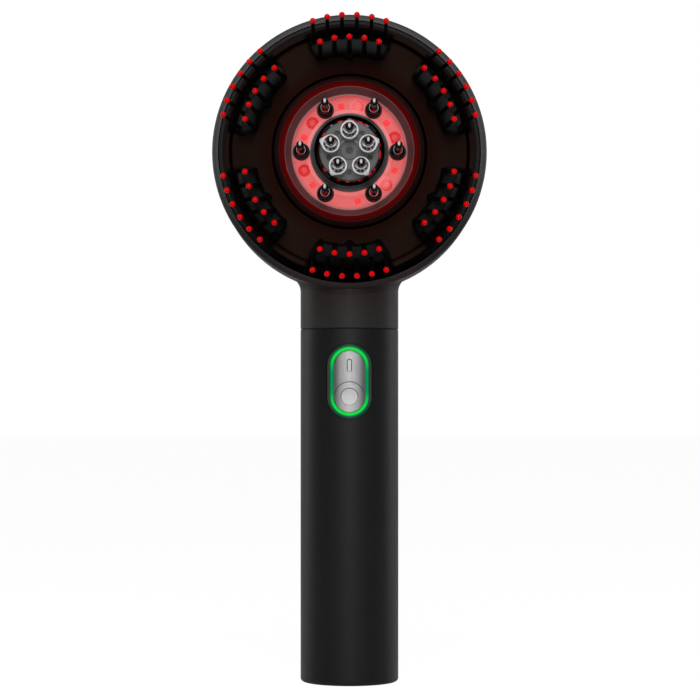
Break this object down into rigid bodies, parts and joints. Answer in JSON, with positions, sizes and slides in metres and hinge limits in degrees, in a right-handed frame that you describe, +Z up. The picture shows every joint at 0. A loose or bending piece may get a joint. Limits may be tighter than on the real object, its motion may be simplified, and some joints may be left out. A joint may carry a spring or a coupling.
{
  "type": "electric scalp massager",
  "caption": "Handheld electric scalp massager: round head with silicone comb pads, sprung ball pins and a red light ring on a rechargeable cylindrical handle with a lit slide switch.",
  "frame": {"origin": "centre of the handle's flat base", "axes": "+Z up along the handle towards the head, -Y towards the working face with the comb pads, +X to the right of a viewer facing the working face"},
  "size_m": [0.0882, 0.0557, 0.2156],
  "materials": {
    "handle_black": "fine matte soft-touch black",
    "housing_smoke": "satin brown-black, slightly smoky",
    "cover_smoke": "smoky brown-black, satin gloss",
    "bezel_smoke": "dark red-black, satin",
    "glow_red": "translucent red light guide, lit",
    "reflector_pink": "satin moulded reflector, lit red",
    "lens_pink": "clear lens, lit red from behind",
    "board_white": "white solder mask",
    "led_glass": "clear epoxy, lit",
    "collar_grey": "satin dark grey",
    "sleeve_dark": "gloss black-brown",
    "ferrule_silver": "bright plated ring",
    "spring_steel": "drawn spring wire",
    "silicone_black": "satin black silicone",
    "tips_red": "gloss red silicone balls",
    "pin_chrome": "black chrome plating",
    "plate_grey": "satin grey",
    "sleeve_clear": "frosted clear moulding",
    "cup_grey": "satin grey",
    "seal_rubber": "soft matte rubber",
    "switch_bezel_green": "dark smoky green-grey, glossy",
    "ring_green": "translucent diffuser, lit green",
    "track_silver": "fine satin silver",
    "knob_silver": "fine satin silver",
    "inner_black": "plain black moulding",
    "switch_steel": "stamped steel can",
    "led_green": "clear epoxy",
    "board_green": "green solder mask",
    "socket_steel": "drawn steel shell",
    "cell_blue": "plain wrap",
    "motor_steel": "plated can",
    "weight_brass": "turned brass",
    "screw_steel": "zinc plated",
    "wire_red": "soft insulation"
  },
  "bodies": {
    "massager": {"handle_shell": "handle_black", "rear_housing": "housing_smoke", "front_cover": "cover_smoke", "bezel_ring": "bezel_smoke", "glow_ring": "glow_red", "reflector_cup": "reflector_pink", "lens": "lens_pink", "led_board": "board_white", "leds": "led_glass", "nozzle_collar": "collar_grey", "pin_sleeves": "sleeve_dark", "pin_ferrules": "ferrule_silver", "pin_springs": "spring_steel", "comb_pad_1": "silicone_black", "comb_pad_2": "silicone_black", "comb_pad_3": "silicone_black", "comb_pad_4": "silicone_black", "comb_pad_5": "silicone_black", "comb_pad_6": "silicone_black", "comb_tips_1": "tips_red", "comb_tips_2": "tips_red", "comb_tips_3": "tips_red", "comb_tips_4": "tips_red", "comb_tips_5": "tips_red", "comb_tips_6": "tips_red", "switch_bezel": "switch_bezel_green", "light_ring": "ring_green", "track_plate": "track_silver", "slide_switch": "switch_steel", "status_leds": "led_green", "main_board": "board_green", "charge_board": "board_green", "usb_socket": "socket_steel", "battery_cell": "cell_blue", "chassis": "inner_black", "neck_seal": "seal_rubber", "motor_can": "motor_steel", "motor_mount": "inner_black", "board_screws": "screw_steel", "wiring": "wire_red"},
    "slider": {"slide_knob": "knob_silver", "switch_lever": "inner_black"},
    "rotor": {"motor_shaft": "motor_steel", "eccentric_weight": "weight_brass"},
    "applicator": {"nozzle_plate": "plate_grey", "nozzle_sleeves": "sleeve_clear", "cartridge_cup": "cup_grey", "cartridge_seal": "seal_rubber", "nozzle_springs": "spring_steel"},
    "outer_1": {"outer_pin_1": "pin_chrome"},
    "outer_2": {"outer_pin_2": "pin_chrome"},
    "outer_3": {"outer_pin_3": "pin_chrome"},
    "outer_4": {"outer_pin_4": "pin_chrome"},
    "outer_5": {"outer_pin_5": "pin_chrome"},
    "outer_6": {"outer_pin_6": "pin_chrome"},
    "inner_1": {"inner_pin_1": "pin_chrome"},
    "inner_2": {"inner_pin_2": "pin_chrome"},
    "inner_3": {"inner_pin_3": "pin_chrome"},
    "inner_4": {"inner_pin_4": "pin_chrome"},
    "inner_5": {"inner_pin_5": "pin_chrome"}
  },
  "joints": [
    {"name": "power_slide", "type": "slide", "parent": "massager", "child": "slider", "axis": [0, 0, 1], "range_m": [0, 0.0098]},
    {"name": "motor_spin", "type": "hinge", "parent": "massager", "child": "rotor", "pos_m": [0, 0.002, 0.143], "axis": [0, 0, 1], "continuous": true},
    {"name": "applicator_release", "type": "slide", "parent": "massager", "child": "applicator", "axis": [0, -1, 0], "range_m": [0, 0.02]},
    {"name": "outer_pin_press_1", "type": "slide", "parent": "massager", "child": "outer_1", "axis": [0, 1, 0], "range_m": [0, 0.0012], "stiffness_N_per_m": 220, "deforming": ["pin_springs"]},
    {"name": "outer_pin_press_2", "type": "slide", "parent": "massager", "child": "outer_2", "axis": [0, 1, 0], "range_m": [0, 0.0012], "stiffness_N_per_m": 220, "deforming": ["pin_springs"]},
    {"name": "outer_pin_press_3", "type": "slide", "parent": "massager", "child": "outer_3", "axis": [0, 1, 0], "range_m": [0, 0.0012], "stiffness_N_per_m": 220, "deforming": ["pin_springs"]},
    {"name": "outer_pin_press_4", "type": "slide", "parent": "massager", "child": "outer_4", "axis": [0, 1, 0], "range_m": [0, 0.0012], "stiffness_N_per_m": 220, "deforming": ["pin_springs"]},
    {"name": "outer_pin_press_5", "type": "slide", "parent": "massager", "child": "outer_5", "axis": [0, 1, 0], "range_m": [0, 0.0012], "stiffness_N_per_m": 220, "deforming": ["pin_springs"]},
    {"name": "outer_pin_press_6", "type": "slide", "parent": "massager", "child": "outer_6", "axis": [0, 1, 0], "range_m": [0, 0.0012], "stiffness_N_per_m": 220, "deforming": ["pin_springs"]},
    {"name": "inner_pin_press_1", "type": "slide", "parent": "applicator", "child": "inner_1", "axis": [0, 1, 0], "range_m": [0, 0.0012], "stiffness_N_per_m": 220, "deforming": ["nozzle_springs"]},
    {"name": "inner_pin_press_2", "type": "slide", "parent": "applicator", "child": "inner_2", "axis": [0, 1, 0], "range_m": [0, 0.0012], "stiffness_N_per_m": 220, "deforming": ["nozzle_springs"]},
    {"name": "inner_pin_press_3", "type": "slide", "parent": "applicator", "child": "inner_3", "axis": [0, 1, 0], "range_m": [0, 0.0012], "stiffness_N_per_m": 220, "deforming": ["nozzle_springs"]},
    {"name": "inner_pin_press_4", "type": "slide", "parent": "applicator", "child": "inner_4", "axis": [0, 1, 0], "range_m": [0, 0.0012], "stiffness_N_per_m": 220, "deforming": ["nozzle_springs"]},
    {"name": "inner_pin_press_5", "type": "slide", "parent": "applicator", "child": "inner_5", "axis": [0, 1, 0], "range_m": [0, 0.0012], "stiffness_N_per_m": 220, "deforming": ["nozzle_springs"]}
  ]
}
